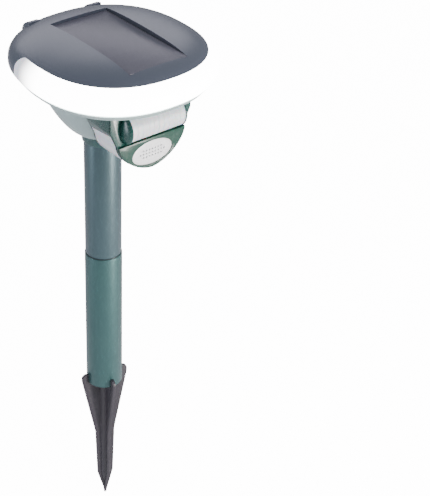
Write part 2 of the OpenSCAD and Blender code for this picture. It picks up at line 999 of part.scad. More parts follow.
module control_knob(side) {
    grips = 12;
    color("#27302f")
        difference() {
            union() {
                round_y(
                    side * knob_x, z_knob, knob_r,
                    pod_reach - knob_well + move_gap, pod_reach - knob_well + move_gap + knob_h
                );
                round_y(side * knob_x, z_knob, shaft_r, pod_reach - 6, pod_reach - knob_well + 1);
            }
            for (k = [0 : grips - 1])
                round_y(
                    side * knob_x + (knob_r + 0.3) * cos(360 * k / grips),
                    z_knob + (knob_r + 0.3) * sin(360 * k / grips),
                    0.7, pod_reach - knob_well, pod_reach + knob_h
                );
            translate([side * knob_x - 0.4, pod_reach - knob_well + knob_h, z_knob])
                cube([0.8, 2, knob_r + 1]);
        }
}

module mode_knob() {
    control_knob(-1);
}

module range_knob() {
    control_knob(1);
}

// Rotary control behind a knob
module rotary_control(side) {
    color("#8d9396")
        difference() {
            round_y(
                side * knob_x, z_knob, control_r,
                pod_inner_y - control_len, pod_inner_y
            );
            round_y(side * knob_x, z_knob, shaft_r + turn_gap, pod_inner_y - 4, pod_reach);
        }
}

module mode_control() {
    rotary_control(-1);
}

module range_control() {
    rotary_control(1);
}

module battery_box() {
    half_w = cell_len / 2 + 1.6;
    y1 = pod_inner_y;
    low = z_pod_top - pod_h + pod_wall;
    color("#2c2f33")
        difference() {
            span([-half_w, box_y - tray_wall, low], [half_w, y1, z_pod + 3]);
            span([-half_w + tray_wall, box_y, box_z], [half_w - tray_wall, y1 + 1, z_pod + 4]);
        }
}

module battery(k) {
    y = box_y + battery_pitch * (k + 0.5);
    z = box_z + cell_d / 2;
    half = cell_len / 2 - 1;
    color("#3f8f5c") round_x(y, z, cell_d / 2, -half, half - 1.2);
    color("#c9ccd0") round_x(y, z, 2.2, half - 1.3, half);
}

module battery_a() {
    battery(0);
}

module battery_b() {
    battery(1);
}

module battery_c() {
    battery(2);
}

module battery_contacts() {
    inner = cell_len / 2 + 1.6 - tray_wall;
    color("#d0d3d6")
        for (k = [0 : 2], side = [-1, 1]) {
            y = box_y + battery_pitch * (k + 0.5);
            x = side * (inner - contact_t / 2);
            translate([x, y, box_z + cell_d / 2]) cube([contact_t, 7, 8], center = true);
        }
}

ground_stake();
lower_tube();
upper_tube();
tube_joiner();
neck_collar();
lower_bowl();
base_tray();
top_cover();
band_lens();
light_strip();
strip_leds();
solar_backing();
solar_cells();
solar_glass();
lug_left();
lug_right();
case_screws();
main_board();
sensor_housing();
window_left();
window_right();
sensor_fascia();
front_plate();
plate_screws_set();
speaker_grille();
sounder();
motion_lens();
cap_left();
cap_right();
motion_sensor();
sensor_board();
control_pod();
battery_door();
mode_knob();
range_knob();
mode_control();
range_control();
battery_box();
battery_a();
battery_b();
battery_c();
battery_contacts();
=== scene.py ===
import math
import bpy
import bmesh
from mathutils import Matrix, Vector


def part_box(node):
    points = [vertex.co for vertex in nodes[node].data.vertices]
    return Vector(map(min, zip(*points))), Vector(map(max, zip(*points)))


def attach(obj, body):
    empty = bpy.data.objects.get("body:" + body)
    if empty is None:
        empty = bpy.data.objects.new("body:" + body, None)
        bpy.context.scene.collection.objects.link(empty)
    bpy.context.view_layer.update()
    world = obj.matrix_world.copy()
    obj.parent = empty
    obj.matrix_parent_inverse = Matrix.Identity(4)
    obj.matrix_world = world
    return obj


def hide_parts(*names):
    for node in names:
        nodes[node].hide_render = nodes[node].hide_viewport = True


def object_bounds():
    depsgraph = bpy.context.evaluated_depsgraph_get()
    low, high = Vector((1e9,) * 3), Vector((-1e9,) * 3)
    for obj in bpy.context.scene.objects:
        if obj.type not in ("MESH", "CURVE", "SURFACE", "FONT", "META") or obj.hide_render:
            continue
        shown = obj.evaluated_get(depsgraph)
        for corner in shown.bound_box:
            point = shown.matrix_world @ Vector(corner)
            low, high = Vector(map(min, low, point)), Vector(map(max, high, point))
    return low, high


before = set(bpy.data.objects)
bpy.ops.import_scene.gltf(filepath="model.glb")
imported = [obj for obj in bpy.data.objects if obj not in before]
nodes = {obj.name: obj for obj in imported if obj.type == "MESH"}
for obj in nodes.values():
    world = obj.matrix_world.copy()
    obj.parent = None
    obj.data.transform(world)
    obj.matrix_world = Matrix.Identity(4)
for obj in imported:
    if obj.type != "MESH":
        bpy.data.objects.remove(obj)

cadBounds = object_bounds()
mm = 0.001
print("frame loaded:", len(nodes), "CAD nodes")

# ---------- camera ----------

cameraSpec = {
    "place": (-0.672989, -0.926751, 0.928481),  # metres
    "azimuth": -41.496,                          # degrees round the pole
    "elevation": 33.678,
    "roll": 2.626,
    "lens": 101.03,                              # mm on a 36 mm sensor
}


def addCamera(spec):
    az, el, roll = (math.radians(spec[k]) for k in ("azimuth", "elevation", "roll"))
    right = Vector((math.cos(az), math.sin(az), 0))
    back = Vector((math.sin(az) * math.cos(el), -math.cos(az) * math.cos(el), math.sin(el)))
    up = back.cross(right)
    turnedRight = right * math.cos(roll) + up * math.sin(roll)
    turnedUp = -right * math.sin(roll) + up * math.cos(roll)
    data = bpy.data.cameras.new("camera")
    data.lens = spec["lens"]
    data.sensor_width = 36
    data.clip_start = 0.05
    camera = bpy.data.objects.new("camera", data)
    matrix = Matrix((turnedRight, turnedUp, back)).transposed().to_4x4()
    matrix.translation = Vector(spec["place"])
    camera.matrix_world = matrix
    bpy.context.scene.collection.objects.link(camera)
    bpy.context.scene.camera = camera


addCamera(cameraSpec)
print("camera placed")

# ---------- small helpers ----------

weldSpec = {
    "built": 1e-7,    # joins the points of a mesh built here, in metres
    "copied": 2e-6,   # joins the points of a CAD node's mesh
    "tree": 1e-6,     # joins the seams of a node tree's grid
    "flat": 0.5,      # degrees between faces that count as one flat face
}


def toLinear(hexColour):
    values = [int(hexColour[i:i + 2], 16) / 255 for i in (1, 3, 5)]
    linear = [v / 12.92 if v <= 0.04045 else ((v + 0.055) / 1.055) ** 2.4 for v in values]
    return (*linear, 1)


def addNode(tree, kind, settings=None, inputs=None):
    # inputs go by name or index, and a socket given as a value is linked
    node = tree.nodes.new(kind)
    for key, value in (settings or {}).items():
        setattr(node, key, value)
    for key, value in (inputs or {}).items():
        if isinstance(value, bpy.types.NodeSocket):
            tree.links.new(value, node.inputs[key])
        else:
            node.inputs[key].default_value = value
    return node


def addObject(name, mesh):
    piece = bpy.data.objects.new(name, mesh)
    bpy.context.scene.collection.objects.link(piece)
    return piece


def meshObject(name, points, faces):
    mesh = bpy.data.meshes.new(name)
    mesh.from_pydata(points, [], faces)
    mesh.update()
    return addObject(name, mesh)


def bakeModifiers(piece):
    graph = bpy.context.evaluated_depsgraph_get()
    mesh = bpy.data.meshes.new_from_object(piece.evaluated_get(graph), depsgraph=graph)
    piece.modifiers.clear()
    piece.data = mesh


def cutWith(piece, cutter, operation="DIFFERENCE"):
    boolean = piece.modifiers.new("cut", "BOOLEAN")
    boolean.object = cutter
    boolean.operation = operation
    boolean.solver = "EXACT"
    bakeModifiers(piece)


def dropObjects(*pieces):
    for piece in pieces:
        bpy.data.objects.remove(piece)


def roundEdges(piece, width, segments, angle):
    bevel = piece.modifiers.new("round", "BEVEL")
    bevel.width = width
    bevel.segments = segments
    bevel.limit_method = "ANGLE"
    bevel.angle_limit = math.radians(angle)
    bevel.use_clamp_overlap = True
    bevel.miter_outer = "MITER_ARC"
    bakeModifiers(piece)


def smoothPiece(piece, angle=32):
    piece.data.shade_smooth()
    piece.data.set_sharp_from_angle(angle=math.radians(angle))


def place(piece, body, slot, material, *replaced):
    if material:
        piece.data.materials.clear()
        piece.data.materials.append(material)
    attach(piece, body)
    if replaced:
        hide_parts(*replaced)


def lathe(name, profile, steps):
    # closed ring through a closed profile of (radius, height)
    points = []
    for i in range(steps):
        turn = 2 * math.pi * i / steps
        points += [(r * math.cos(turn), r * math.sin(turn), z) for r, z in profile]
    count = len(profile)
    faces = []
    for i in range(steps):
        for k in range(count):
            a = i * count + k
            b = i * count + (k + 1) % count
            c = ((i + 1) % steps) * count + (k + 1) % count
            d = ((i + 1) % steps) * count + k
            faces.append((a, d, c, b))
    piece = meshObject(name, points, faces)
    fixNormals(piece)
    return piece


def fixNormals(piece):
    mesh = bmesh.new()
    mesh.from_mesh(piece.data)
    bmesh.ops.remove_doubles(mesh, verts=mesh.verts, dist=weldSpec["built"])
    bmesh.ops.recalc_face_normals(mesh, faces=mesh.faces)
    mesh.to_mesh(piece.data)
    mesh.free()


def prism(name, outline, low, high, axis="Y"):
    # outline is (x, z) for axis Y and (y, z) for axis X
    if axis == "Y":
        points = [(a, low, b) for a, b in outline] + [(a, high, b) for a, b in outline]
    else:
        points = [(low, a, b) for a, b in outline] + [(high, a, b) for a, b in outline]
    n = len(outline)
    faces = [tuple(range(n)), tuple(range(2 * n - 1, n - 1, -1))]
    faces += [(i, i + n, (i + 1) % n + n, (i + 1) % n) for i in range(n)]
    piece = meshObject(name, points, faces)
    fixNormals(piece)
    return piece


def boxPiece(name, low, high):
    outline = [(low[0], low[2]), (high[0], low[2]), (high[0], high[2]), (low[0], high[2])]
    return prism(name, outline, low[1], high[1])


def arcPoints(x, y, radius, start, end, steps):
    turns = [math.radians(start + (end - start) * i / steps) for i in range(steps + 1)]
    return [(x + radius * math.cos(t), y + radius * math.sin(t)) for t in turns]


def signPower(value, exponent):
    return math.copysign(abs(value) ** exponent, value)


def softCopy(nodeName, width, segments=2, angle=35):
    # the CAD node's shape, merged and given rounded edges
    mesh = nodes[nodeName].data.copy()
    work = bmesh.new()
    work.from_mesh(mesh)
    bmesh.ops.remove_doubles(work, verts=work.verts, dist=weldSpec["copied"])
    flat = math.radians(weldSpec["flat"])
    bmesh.ops.dissolve_limit(work, angle_limit=flat, verts=work.verts, edges=work.edges)
    work.to_mesh(mesh)
    work.free()
    piece = addObject(nodeName + "_soft", mesh)
    roundEdges(piece, width, segments, angle)
    smoothPiece(piece)
    return piece


# ---------- materials ----------


def startMaterial(name, colour, roughness, ior=1.5, metallic=0.0):
    material = bpy.data.materials.new(name)
    material.use_nodes = True
    tree = material.node_tree
    tree.nodes.clear()
    shader = addNode(tree, "ShaderNodeBsdfPrincipled", {}, {
        "Base Color": toLinear(colour), "Roughness": roughness, "IOR": ior, "Metallic": metallic,
    })
    addNode(tree, "ShaderNodeOutputMaterial", {}, {"Surface": shader.outputs[0]})
    where = addNode(tree, "ShaderNodeTexCoord").outputs["Object"]
    return material, tree, shader, where


def shadeColour(tree, shader, where, colours, size):
    # slow drift between two close colours, size in metres
    noise = addNode(tree, "ShaderNodeTexNoise", {}, {"Vector": where, "Scale": 1 / size, "Detail": 3})
    mix = addNode(tree, "ShaderNodeMix", {"data_type": "RGBA"}, {
        "Factor": noise.outputs["Fac"], 6: toLinear(colours[0]), 7: toLinear(colours[1]),
    })
    tree.links.new(mix.outputs[2], shader.inputs["Base Color"])


def grainBump(tree, shader, where, size, height, roughness, spread):
    # fine grain that lifts the surface and varies its gloss
    grain = addNode(tree, "ShaderNodeTexNoise", {}, {
        "Vector": where, "Scale": 1 / size, "Detail": 4, "Roughness": 0.6,
    })
    gloss = addNode(tree, "ShaderNodeMapRange", {}, {
        "Value": grain.outputs["Fac"], "From Min": 0.3, "From Max": 0.7,
        "To Min": roughness - spread, "To Max": roughness + spread,
    })
    tree.links.new(gloss.outputs[0], shader.inputs["Roughness"])
    bump = addNode(tree, "ShaderNodeBump", {}, {
        "Height": grain.outputs["Fac"], "Strength": 0.5, "Distance": height,
    })
    tree.links.new(bump.outputs[0], shader.inputs["Normal"])


def mouldedPlastic(name, colours, roughness, grain=0.9 * mm, height=0.02 * mm, spread=0.05):
    material, tree, shader, where = startMaterial(name, colours[0], roughness, 1.52)
    shadeColour(tree, shader, where, colours, 45 * mm)
    grainBump(tree, shader, where, grain, height, roughness, spread)
    return material


def paintedSteel(name, colours, roughness):
    # powder paint on steel tube: an even satin skin with a slight orange peel
    material, tree, shader, where = startMaterial(name, colours[0], roughness, 1.5)
    shadeColour(tree, shader, where, colours, 30 * mm)
    grainBump(tree, shader, where, 1.6 * mm, 0.02 * mm, roughness, 0.04)
    shader.inputs["Metallic"].default_value = 0.55
    shader.inputs["Coat Weight"].default_value = 0.3
    shader.inputs["Coat Roughness"].default_value = 0.25
    return material


glowSpec = {
    "dimmest": 0.6,
    "brightest": 14.0,
    "dimY": 6 * mm,
    "brightY": -26 * mm,
}


def opalDiffuser(name):
    # opal acrylic with the lamps on behind it: milky, bright at the front and dim at its rear ends
    material, tree, shader, where = startMaterial(name, "#f6f5fc", 0.3, 1.49)
    parts = addNode(tree, "ShaderNodeSeparateXYZ", {}, {"Vector": where})
    fade = addNode(tree, "ShaderNodeMapRange", {"interpolation_type": "SMOOTHSTEP"}, {
        "Value": parts.outputs["Y"], "From Min": glowSpec["dimY"], "From Max": glowSpec["brightY"],
        "To Min": glowSpec["dimmest"], "To Max": glowSpec["brightest"],
    })
    tint = addNode(tree, "ShaderNodeMix", {"data_type": "RGBA"}, {
        "Factor": fade.outputs[0], 6: toLinear("#c2c0f4"), 7: toLinear("#ffffff"),
    })
    tree.links.new(tint.outputs[2], shader.inputs["Emission Color"])
    tree.links.new(fade.outputs[0], shader.inputs["Emission Strength"])
    shader.inputs["Subsurface Weight"].default_value = 0.3
    shader.inputs["Subsurface Scale"].default_value = 2 * mm
    grainBump(tree, shader, where, 0.8 * mm, 0.01 * mm, 0.3, 0.04)
    return material


def bandScale(spacing):
    # a wave texture at scale 1 repeats its bands every 0.314 metres
    return 0.314 / spacing


def frostedWindow(name, colours, roughness, ribSpacing):
    # polyethylene lens sheet: milky, with moulded lens ribs on the inside that show as faint bands
    material, tree, shader, where = startMaterial(name, colours[0], roughness, 1.54)
    ribs = addNode(tree, "ShaderNodeTexWave", {"wave_type": "BANDS", "bands_direction": "X"}, {
        "Vector": where, "Scale": bandScale(ribSpacing), "Distortion": 0.0,
    })
    mix = addNode(tree, "ShaderNodeMix", {"data_type": "RGBA"}, {
        "Factor": ribs.outputs["Fac"], 6: toLinear(colours[0]), 7: toLinear(colours[1]),
    })
    tree.links.new(mix.outputs[2], shader.inputs["Base Color"])
    bump = addNode(tree, "ShaderNodeBump", {}, {
        "Height": ribs.outputs["Fac"], "Strength": 0.35, "Distance": 0.12 * mm,
    })
    tree.links.new(bump.outputs[0], shader.inputs["Normal"])
    shader.inputs["Subsurface Weight"].default_value = 0.35
    shader.inputs["Subsurface Scale"].default_value = 1.5 * mm
    return material


def panelGlass(name):
    # textured solar glass: clear, slightly hazy, with a fine stipple against glare
    material, tree, shader, where = startMaterial(name, "#80808c", 0.32, 1.5)
    shader.inputs["Alpha"].default_value = 0.6
    grainBump(tree, shader, where, 0.7 * mm, 0.015 * mm, 0.32, 0.05)
    return material


def siliconCell(name):
    # silicon wafer: dark, with printed fingers across it, drawn about twice as far apart as real
    # ones so that they show
    material, tree, shader, where = startMaterial(name, "#3c3b48", 0.35, 1.6)
    fingers = addNode(tree, "ShaderNodeTexWave", {"wave_type": "BANDS", "bands_direction": "X"}, {
        "Vector": where, "Scale": bandScale(3.2 * mm), "Distortion": 0.0,
    })
    line = addNode(tree, "ShaderNodeMapRange", {}, {
        "Value": fingers.outputs["Fac"], "From Min": 0.9, "From Max": 1.0,
    })
    mix = addNode(tree, "ShaderNodeMix", {"data_type": "RGBA"}, {
        "Factor": line.outputs[0], 6: toLinear("#454352"), 7: toLinear("#6d6b78"),
    })
    tree.links.new(mix.outputs[2], shader.inputs["Base Color"])
    bump = addNode(tree, "ShaderNodeBump", {}, {
        "Height": line.outputs[0], "Strength": 0.4, "Distance": 0.03 * mm,
    })
    tree.links.new(bump.outputs[0], shader.inputs["Normal"])
    return material


def zincSteel(name):
    # zinc-plated steel: bright, with a slightly uneven lustre
    roughness = 0.32
    material, tree, shader, where = startMaterial(name, "#b9bec2", roughness, 1.5, 1.0)
    shadeColour(tree, shader, where, ("#b4b9be", "#c6cacd"), 3 * mm)
    grainBump(tree, shader, where, 0.5 * mm, 0.01 * mm, roughness, 0.08)
    return material


def circuitBoard(name):
    # glass-epoxy board with solder mask: green, with the traces as faint raised lines
    material, tree, shader, where = startMaterial(name, "#2e7a4b", 0.4, 1.55)
    traces = addNode(tree, "ShaderNodeTexBrick", {}, {
        "Vector": where, "Scale": 1 / (6 * mm), "Color1": toLinear("#2c7547"),
        "Color2": toLinear("#2f7f4e"), "Mortar": toLinear("#3f9160"), "Mortar Size": 0.03,
    })
    tree.links.new(traces.outputs["Color"], shader.inputs["Base Color"])
    bump = addNode(tree, "ShaderNodeBump", {}, {
        "Height": traces.outputs["Fac"], "Strength": 0.4, "Distance": 0.03 * mm,
    })
    tree.links.new(bump.outputs[0], shader.inputs["Normal"])
    return material


def ledPackage(name):
    # white ceramic package under a yellow phosphor, lit
    material, tree, shader, where = startMaterial(name, "#fff3d0", 0.4)
    shader.inputs["Emission Color"].default_value = toLinear("#fff8e8")
    shader.inputs["Emission Strength"].default_value = 2.0
    grainBump(tree, shader, where, 0.4 * mm, 0.01 * mm, 0.4, 0.05)
    return material


materials = {
    # polypropylene filled with talc, moulded in a spark-eroded tool: dull, with a fine even grain
    "stake": mouldedPlastic(
        "moulded_polypropylene", ("#2d2a31", "#36333a"), 0.42, 0.8 * mm, 0.05 * mm, 0.07),
    "pole": paintedSteel("powder_painted_steel", ("#42595f", "#485f65"), 0.36),
    "lowerPole": paintedSteel("powder_painted_steel_lower", ("#385c5d", "#3e6362"), 0.38),
    # nylon sleeve, left as moulded
    "joiner": mouldedPlastic("moulded_nylon", ("#12282a", "#1a3233"), 0.45),
    # ABS from a polished tool: even colour, soft gloss
    "housing": mouldedPlastic("moulded_abs_green", ("#1a4640", "#1f4d46"), 0.26, 1.1 * mm, 0.012 * mm),
    "collar": mouldedPlastic("moulded_abs_collar", ("#2b4d4c", "#315453"), 0.3, 1.1 * mm, 0.012 * mm),
    "bowl": mouldedPlastic("moulded_abs_bowl", ("#9fb4b3", "#a9bcbb"), 0.32, 1.1 * mm, 0.012 * mm),
    "plate": mouldedPlastic("moulded_abs_plate", ("#033c2e", "#074233"), 0.32, 1.1 * mm, 0.012 * mm),
    # ABS with a fine matt texture that keeps glare down
    "cover": mouldedPlastic("textured_abs_cover", ("#555c68", "#5c636f"), 0.34, 0.8 * mm, 0.015 * mm),
    "diffuser": opalDiffuser("opal_acrylic_lit"),
    "lens": frostedWindow("polyethylene_lens_sheet", ("#eceef4", "#f6f6fb"), 0.32, 4.8 * mm),
    "grille": mouldedPlastic("moulded_abs_white", ("#fafbfd", "#ffffff"), 0.32, 1.0 * mm, 0.012 * mm),
    "glass": panelGlass("stippled_solar_glass"),
    "silicon": siliconCell("silicon_wafer"),
    "board": circuitBoard("solder_masked_board"),
    "led": ledPackage("lit_led_package"),
    "dark": mouldedPlastic("moulded_abs_dark", ("#242c2c", "#2b3333"), 0.42),
    "zinc": zincSteel("zinc_plated_steel"),
    # shrink film on a battery: thin, glossy and slightly wavy
    "wrap": mouldedPlastic("battery_shrink_film", ("#3b8a58", "#419362"), 0.25, 2.5 * mm, 0.03 * mm),
}
print("materials made:", len(materials))

# ---------- geometry node trees ----------


def newTree(name, inputs):
    tree = bpy.data.node_groups.new(name, "GeometryNodeTree")
    tree.interface.new_socket("Geometry", in_out="INPUT", socket_type="NodeSocketGeometry")
    for label, kind in inputs:
        tree.interface.new_socket(label, in_out="INPUT", socket_type="NodeSocket" + kind)
    tree.interface.new_socket("Geometry", in_out="OUTPUT", socket_type="NodeSocketGeometry")
    return tree, addNode(tree, "NodeGroupInput")


def endTree(tree, geometry, material):
    realized = addNode(tree, "GeometryNodeRealizeInstances", {}, {"Geometry": geometry})
    painted = addNode(tree, "GeometryNodeSetMaterial", {}, {
        "Geometry": realized.outputs[0], "Material": material,
    })
    addNode(tree, "NodeGroupOutput", {}, {"Geometry": painted.outputs[0]})


def runTree(name, tree, values):
    # the tree's result on an empty mesh, as a plain mesh
    piece = addObject(name, bpy.data.meshes.new(name))
    modifier = piece.modifiers.new("nodes", "NODES")
    modifier.node_group = tree
    sockets = {item.name: item.identifier for item in tree.interface.items_tree if item.in_out == "INPUT"}
    for label, value in values.items():
        modifier[sockets[label]] = value
    bakeModifiers(piece)
    return piece


def solveSteps(tree, known, steps):
    # each step is (name, operation, first, second), where a text names an earlier value
    for name, operation, first, second in steps:
        values = [known.get(v, v) if isinstance(v, str) else v for v in (first, second)]
        node = addNode(tree, "ShaderNodeMath", {"operation": operation}, dict(enumerate(values)))
        known[name] = node.outputs[0]
    return known


def shellTree():
    # closed shell: a rounded plan that swells from the rim and closes over in a dome
    labels = [
        "Half Width", "Half Length", "Plan Power", "Across Power", "Up Power", "Dome Height",
        "Rim Height", "Rim Share", "Rim Level", "Inset", "Shift", "Rim Part",
    ]
    inputs = [(label, "Float") for label in labels]
    inputs += [("Segments", "Int"), ("Rings", "Int"), ("Material", "Material")]
    tree, given = newTree("domedShell", inputs)
    grid = addNode(tree, "GeometryNodeMeshGrid", {}, {
        "Size X": 1.0, "Size Y": 1.0,
        "Vertices X": given.outputs["Segments"], "Vertices Y": given.outputs["Rings"],
    })
    position = addNode(tree, "GeometryNodeInputPosition").outputs[0]
    parts = addNode(tree, "ShaderNodeSeparateXYZ", {}, {0: position})
    known = {label: given.outputs[label] for label in labels}
    known["across"] = parts.outputs["X"]
    known["along"] = parts.outputs["Y"]
    # the first ring shrinks to a point, which closes the shell below
    known = solveSteps(tree, known, [
        ("turn", "MULTIPLY", "across", 2 * math.pi),
        ("climb", "ADD", "along", 0.5),
        ("rimRaw", "DIVIDE", "climb", "Rim Part"),
        ("rimT", "MINIMUM", "rimRaw", 1.0),
        ("domeRaw", "SUBTRACT", "climb", "Rim Part"),
        ("domeLow", "MAXIMUM", "domeRaw", 0.0),
        ("domeLeft", "SUBTRACT", 1.0, "Rim Part"),
        ("domeT", "DIVIDE", "domeLow", "domeLeft"),
        ("lean", "MULTIPLY", "domeT", math.pi / 2),
        ("leanCos", "COSINE", "lean", 0.0),
        ("leanCosUp", "MAXIMUM", "leanCos", 0.0),
        ("leanSin", "SINE", "lean", 0.0),
        ("pastFirst", "GREATER_THAN", "climb", 0.001),
        ("rimTurn", "MULTIPLY", "rimT", math.pi / 2),
        ("rimSin", "SINE", "rimTurn", 0.0),
        ("rimLack", "SUBTRACT", 1.0, "Rim Share"),
        ("rimGain", "MULTIPLY", "rimLack", "rimSin"),
        ("rimSize", "ADD", "rimGain", "Rim Share"),
        ("acrossPower", "DIVIDE", 2.0, "Across Power"),
        ("domeSize", "POWER", "leanCosUp", "acrossPower"),
        ("size", "MULTIPLY", "rimSize", "domeSize"),
        ("insetHere", "MULTIPLY", "Inset", "leanCosUp"),
        ("wideRaw", "MULTIPLY", "Half Width", "size"),
        ("wideIn", "SUBTRACT", "wideRaw", "insetHere"),
        ("wide", "MULTIPLY", "wideIn", "pastFirst"),
        ("longRaw", "MULTIPLY", "Half Length", "size"),
        ("longIn", "SUBTRACT", "longRaw", "insetHere"),
        ("long", "MULTIPLY", "longIn", "pastFirst"),
        ("planPower", "DIVIDE", 2.0, "Plan Power"),
        ("turnCos", "COSINE", "turn", 0.0),
        ("turnSin", "SINE", "turn", 0.0),
        ("cosSize", "ABSOLUTE", "turnCos", 0.0),
        ("sinSize", "ABSOLUTE", "turnSin", 0.0),
        ("cosPower", "POWER", "cosSize", "planPower"),
        ("sinPower", "POWER", "sinSize", "planPower"),
        ("cosSign", "SIGN", "turnCos", 0.0),
        ("sinSign", "SIGN", "turnSin", 0.0),
        ("planX", "MULTIPLY", "cosPower", "cosSign"),
        ("planY", "MULTIPLY", "sinPower", "sinSign"),
        ("x", "MULTIPLY", "planX", "wide"),
        ("yRaw", "MULTIPLY", "planY", "long"),
        ("y", "SUBTRACT", "yRaw", "Shift"),
        ("upPower", "DIVIDE", 2.0, "Up Power"),
        ("domeUp", "POWER", "leanSin", "upPower"),
        ("domeRise", "MULTIPLY", "domeUp", "Dome Height"),
        ("rimRise", "MULTIPLY", "rimT", "Rim Height"),
        ("rise", "ADD", "domeRise", "rimRise"),
        ("z", "ADD", "rise", "Rim Level"),
    ])
    target = addNode(tree, "ShaderNodeCombineXYZ", {}, {
        "X": known["x"], "Y": known["y"], "Z": known["z"],
    })
    moved = addNode(tree, "GeometryNodeSetPosition", {}, {
        "Geometry": grid.outputs["Mesh"], "Position": target.outputs[0],
    })
    merged = addNode(tree, "GeometryNodeMergeByDistance", {}, {
        "Geometry": moved.outputs[0], "Distance": weldSpec["tree"],
    })
    endTree(tree, merged.outputs[0], given.outputs["Material"])
    return tree


def perforateTree():
    # holes of one size on a centred grid without its corners, cut through a plate
    tree, given = newTree("perforatedPlate", [
        ("Plate", "Object"), ("Columns", "Int"), ("Rows", "Int"), ("Pitch", "Float"),
        ("Hole Radius", "Float"), ("Depth", "Float"), ("Centre", "Vector"), ("Material", "Material"),
    ])
    plate = addNode(tree, "GeometryNodeObjectInfo", {}, {"Object": given.outputs["Plate"]})
    known = solveSteps(tree, {k: given.outputs[k] for k in ("Columns", "Rows", "Pitch")}, [
        ("columnGaps", "SUBTRACT", "Columns", 1.0),
        ("rowGaps", "SUBTRACT", "Rows", 1.0),
        ("sizeX", "MULTIPLY", "columnGaps", "Pitch"),
        ("sizeY", "MULTIPLY", "rowGaps", "Pitch"),
    ])
    grid = addNode(tree, "GeometryNodeMeshGrid", {}, {
        "Size X": known["sizeX"], "Size Y": known["sizeY"],
        "Vertices X": given.outputs["Columns"], "Vertices Y": given.outputs["Rows"],
    })
    position = addNode(tree, "GeometryNodeInputPosition").outputs[0]
    parts = addNode(tree, "ShaderNodeSeparateXYZ", {}, {0: position})
    known["across"] = parts.outputs["X"]
    known["up"] = parts.outputs["Y"]
    known = solveSteps(tree, known, [
        ("side", "ABSOLUTE", "across", 0.0),
        ("level", "ABSOLUTE", "up", 0.0),
        ("lastGap", "SUBTRACT", "columnGaps", 1.0),
        ("lastWidth", "MULTIPLY", "lastGap", "Pitch"),
        ("lastSide", "MULTIPLY", "lastWidth", 0.5),
        ("halfPitch", "MULTIPLY", "Pitch", 0.5),
        ("atSide", "GREATER_THAN", "side", "lastSide"),
        ("offMiddle", "GREATER_THAN", "level", "halfPitch"),
        ("corner", "MULTIPLY", "atSide", "offMiddle"),
    ])
    trimmed = addNode(tree, "GeometryNodeDeleteGeometry", {"domain": "POINT"}, {
        "Geometry": grid.outputs["Mesh"], "Selection": known["corner"],
    })
    standing = addNode(tree, "GeometryNodeTransform", {}, {
        "Geometry": trimmed.outputs[0], "Rotation": (math.pi / 2, 0, 0),
        "Translation": given.outputs["Centre"],
    })
    punch = addNode(tree, "GeometryNodeMeshCylinder", {}, {
        "Vertices": 20, "Radius": given.outputs["Hole Radius"], "Depth": given.outputs["Depth"],
    })
    holes = addNode(tree, "GeometryNodeInstanceOnPoints", {}, {
        "Points": standing.outputs[0], "Instance": punch.outputs["Mesh"], "Rotation": (math.pi / 2, 0, 0),
    })
    solid = addNode(tree, "GeometryNodeRealizeInstances", {}, {"Geometry": holes.outputs[0]})
    cut = addNode(tree, "GeometryNodeMeshBoolean", {"operation": "DIFFERENCE", "solver": "EXACT"}, {
        "Mesh 1": plate.outputs["Geometry"], "Mesh 2": solid.outputs[0],
    })
    endTree(tree, cut.outputs["Mesh"], given.outputs["Material"])
    return tree


def repeatTree():
    # one object repeated in a row, evenly from a start point
    tree, given = newTree("repeatInRow", [
        ("Piece", "Object"), ("Count", "Int"), ("Start", "Vector"), ("Step", "Vector"),
        ("Material", "Material"),
    ])
    item = addNode(tree, "GeometryNodeObjectInfo", {}, {"Object": given.outputs["Piece"]})
    row = addNode(tree, "GeometryNodeMeshLine", {}, {
        "Count": given.outputs["Count"], "Start Location": given.outputs["Start"],
        "Offset": given.outputs["Step"],
    })
    copies = addNode(tree, "GeometryNodeInstanceOnPoints", {}, {
        "Points": row.outputs[0], "Instance": item.outputs["Geometry"],
    })
    endTree(tree, copies.outputs[0], given.outputs["Material"])
    return tree


domedShell = shellTree()
perforatedPlate = perforateTree()
repeatInRow = repeatTree()
print("node trees built")

# ---------- head ----------

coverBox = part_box("top_cover")
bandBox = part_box("band_lens")
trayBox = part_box("base_tray")
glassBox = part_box("solar_glass")

# the powers and shares of the curves are the same as in the part's source
headSpec = {
    "planPower": 2.33,
    "acrossPower": 3.14,
    "upPower": 2.55,
    "rimShare": 0.943,
    "floorShare": 0.9,
    "rimHeight": 8.85 * mm,
    "wall": 2.2 * mm,
    "bandWall": 2.0 * mm,
    "bandBack": bandBox[1].y,
    "bandCorner": 9 * mm,
    "bandGap": 0.2 * mm,
    "segments": 193,
    "rings": 61,
    "rimPart": 0.16,        # share of the rings that make the rim
    "planSteps": 192,
    "pocketGap": 0.3 * mm,
    "pocketFloor": 0.7,     # the recess's floor, as a share of the wall
    "underCut": 1 * mm,     # how far a hollow's cutter reaches below the rim
    "trayHole": 0.62,
    "trayEdge": 0.5 * mm,
    "smoothAngle": 30,
}
# cutters reach this far past the head, in metres
cutterReach = {"above": 0.05, "side": 0.15, "front": 0.2}
halfWidth = (bandBox[1].x - bandBox[0].x) / 2
halfLength = (coverBox[1].y - bandBox[0].y) / 2
headShift = -(coverBox[1].y + bandBox[0].y) / 2
rimLevel = bandBox[0].z
domeHeight = coverBox[1].z - rimLevel - headSpec["rimHeight"]


